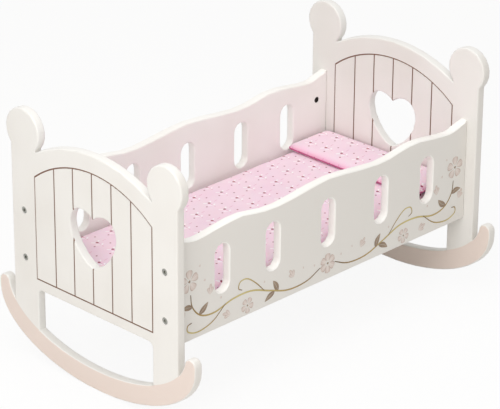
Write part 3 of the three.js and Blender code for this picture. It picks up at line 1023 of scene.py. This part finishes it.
# %% Plain cotton of the seams
def seam_finish(name, deep, pale):
    finish = Finish(name)
    place = finish.place()
    drift = finish.noise(place, 60.0, 2.0)
    slub = finish.noise(place, 700.0, 3.0)
    base = finish.mix(drift, colour(deep), colour(pale))
    roughness = 0.8 + 0.12*slub
    return finish.finish(base, roughness, slub, strength=0.2, depth=0.3*mm,
                         sheen_weight=0.2, sheen_roughness=0.4)


seam_pale = seam_finish("seam_cotton", "E3B4CB", "EBC8D9")
# painted shade: the pillow's deep-pink cord draws the crease under its edge
pillow_cord_painted_shade = seam_finish("seam_cotton_painted_shade", "A93A6C", "C25C88")

# %% [markdown]
# The mattress starts a little smaller than its place in the frame, because filling makes
# it swell. Its top is crowned, its sides pull in between the corners, and its underside
# is flat on the floor board.

# %% Make the mattress
swell = 0.8*mm
bed_low, bed_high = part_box("mattress")
mattress = Pad("mattress_case", bed_low + Vector((swell, swell, 0)),
               bed_high - Vector((swell, swell, swell)),
               seam_share=0.46, reach=12*mm, under_reach=11*mm, corner=9*mm,
               draw_in=1.5*mm, draw_back=0.0, crown=1.5*mm, spacing=5*mm)
fill(mattress, pressure=3.0, gather=0.02, most=1.5*mm)
settle(mattress, crease_height=0.9*mm, crease_size=55*mm, pucker=0.5*mm, seam_shade_reach=9*mm,
       floor_under=lambda place: bed_low.z)
mattress_seam = sew_seam(mattress, "mattress_seam", radius=1.1*mm)

# %% [markdown]
# The pillow is thin and spans the head end. It is the same kind of case, filled a little
# fuller. It lies on the mattress, so each of its points stays above the mattress under
# it, which a ray finds.

# %% Make the pillow
pillow_low, pillow_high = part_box("pillow")
bed_tree = BVHTree.FromObject(mattress.piece, bpy.context.evaluated_depsgraph_get())
well_above = pillow_high.z + 50*mm
lying_gap = 0.3*mm


def on_mattress(place):
    hit = bed_tree.ray_cast(Vector((place.x, place.y, well_above)), Vector((0, 0, -1)))[0]
    return (hit.z if hit else pillow_low.z) + lying_gap


pillow = Pad("pillow_case", pillow_low + Vector((swell, swell, 0)),
             pillow_high - Vector((swell, swell, 2*swell)),
             seam_share=0.27, reach=12*mm, under_reach=6*mm, corner=6*mm,
             draw_in=0.0, draw_back=2.4*mm, crown=2.2*mm, spacing=4*mm)
fill(pillow, pressure=4.0, gather=0.02, most=1.2*mm)
settle(pillow, crease_height=0.8*mm, crease_size=32*mm, pucker=0.5*mm, seam_shade_reach=5*mm,
       floor_under=on_mattress)
pillow_seam = sew_seam(pillow, "pillow_seam", radius=0.9*mm)

# %% [markdown]
# The cases take the place of the two plain soft solids, and each seam rides with its own
# pad, so that both lift out with the joints.

# %% Hand the bedding over
seams = [(mattress_seam, "mattress", seam_pale), (pillow_seam, "pillow", pillow_cord_painted_shade)]
for pad, node_name in ((mattress, "mattress"), (pillow, "pillow")):
    pad.piece.data.materials.append(cotton)
    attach(pad.piece, node_name)
    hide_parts(node_name)
for seam, node_name, cloth_colour in seams:
    seam.data.materials.append(cloth_colour)
    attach(seam, node_name)
print("bedding in place")

# %% [markdown]
# The studio is a pale floor and a white surround. The floor still shows a soft shadow:
# the camera sees it partly as it is and partly as plain white. Metal sees the same
# white, because reflected rays count too.

# %% The studio floor
def seen_directly(finish):
    path = finish.node("ShaderNodeLightPath")
    kinds = ("Is Camera Ray", "Is Glossy Ray", "Is Transmission Ray")
    camera_ray, glossy_ray, clear_ray = [Wire(finish, path.outputs[kind]) for kind in kinds]
    return finish.maths("MAXIMUM", finish.maths("MAXIMUM", camera_ray, glossy_ray), clear_ray)


floor_white = colour("F0EFED")
shadow_kept = 0.1
floor_finish = Finish("studio_floor")
plain = floor_finish.node("ShaderNodeBsdfDiffuse", None, {"Color": floor_white})
white = floor_finish.node("ShaderNodeEmission", None, {"Color": (1, 1, 1, 1), "Strength": 1.0})
share_of_white = seen_directly(floor_finish)*(1 - shadow_kept)
both = floor_finish.node("ShaderNodeMixShader", None,
                         {0: share_of_white, 1: plain.outputs[0], 2: white.outputs[0]})
floor_finish.node("ShaderNodeOutputMaterial", None, {"Surface": both.outputs[0]})

floor_data = bpy.data.meshes.new("studio_floor")
floor_reach = 12.0
corners = [(x*floor_reach, y*floor_reach, 0) for x, y in ((-1, -1), (1, -1), (1, 1), (-1, 1))]
floor_data.from_pydata(corners, [], [(0, 1, 2, 3)])
floor_data.materials.append(floor_finish.material)
studio_floor = bpy.data.objects.new("studio_floor", floor_data)
bpy.context.scene.collection.objects.link(studio_floor)
studio_floor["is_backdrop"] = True

# %% The room round it
room_white = (1.0, 0.99, 0.975, 1)
room_strength = 0.55
surround = Finish("surround", bpy.data.worlds.new("surround"))
bpy.context.scene.world = surround.material
room = surround.node("ShaderNodeBackground", None, {"Color": room_white, "Strength": room_strength})
bright = surround.node("ShaderNodeBackground", None, {"Color": (1, 1, 1, 1), "Strength": 1.0})
both = surround.node("ShaderNodeMixShader", None,
                     {0: seen_directly(surround), 1: room.outputs[0], 2: bright.outputs[0]})
surround.node("ShaderNodeOutputWorld", None, {"Surface": both.outputs[0]})
print("studio floor and surround ready")

# %% [markdown]
# Two lamps stand in for soft boxes. The main one stands beyond the foot end and a little
# to the near side, so it grazes the near panel and shines into its slots. The large one
# hangs above and gives most of the light.

# %% Lamps
def soft_box(name, place, target, width, power):
    data = bpy.data.lights.new(name, "AREA")
    data.shape = "SQUARE"
    data.size = width
    data.energy = power
    lamp = bpy.data.objects.new(name, data)
    lamp.location = place
    lamp.rotation_euler = (Vector(target) - Vector(place)).to_track_quat("-Z", "Y").to_euler()
    bpy.context.scene.collection.objects.link(lamp)
    print(name, "shines with", power, "W")


soft_box("main_soft_box", place=(-1.45, -0.66, 0.9), target=(-0.1, 0, 0.15), width=0.7, power=6.6)
soft_box("top_soft_box", place=(-0.5, -0.35, 1.85), target=(0, 0, 0.1), width=1.8, power=18.8)
bpy.context.scene.view_settings.view_transform = "Standard"

# %% Sizes of the dressed cradle
dressed_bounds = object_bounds()
for label, (low, high) in (("frame", frame_bounds), ("dressed", dressed_bounds)):
    print(label, [round(v/mm, 1) for v in low], "to", [round(v/mm, 1) for v in high], "mm")
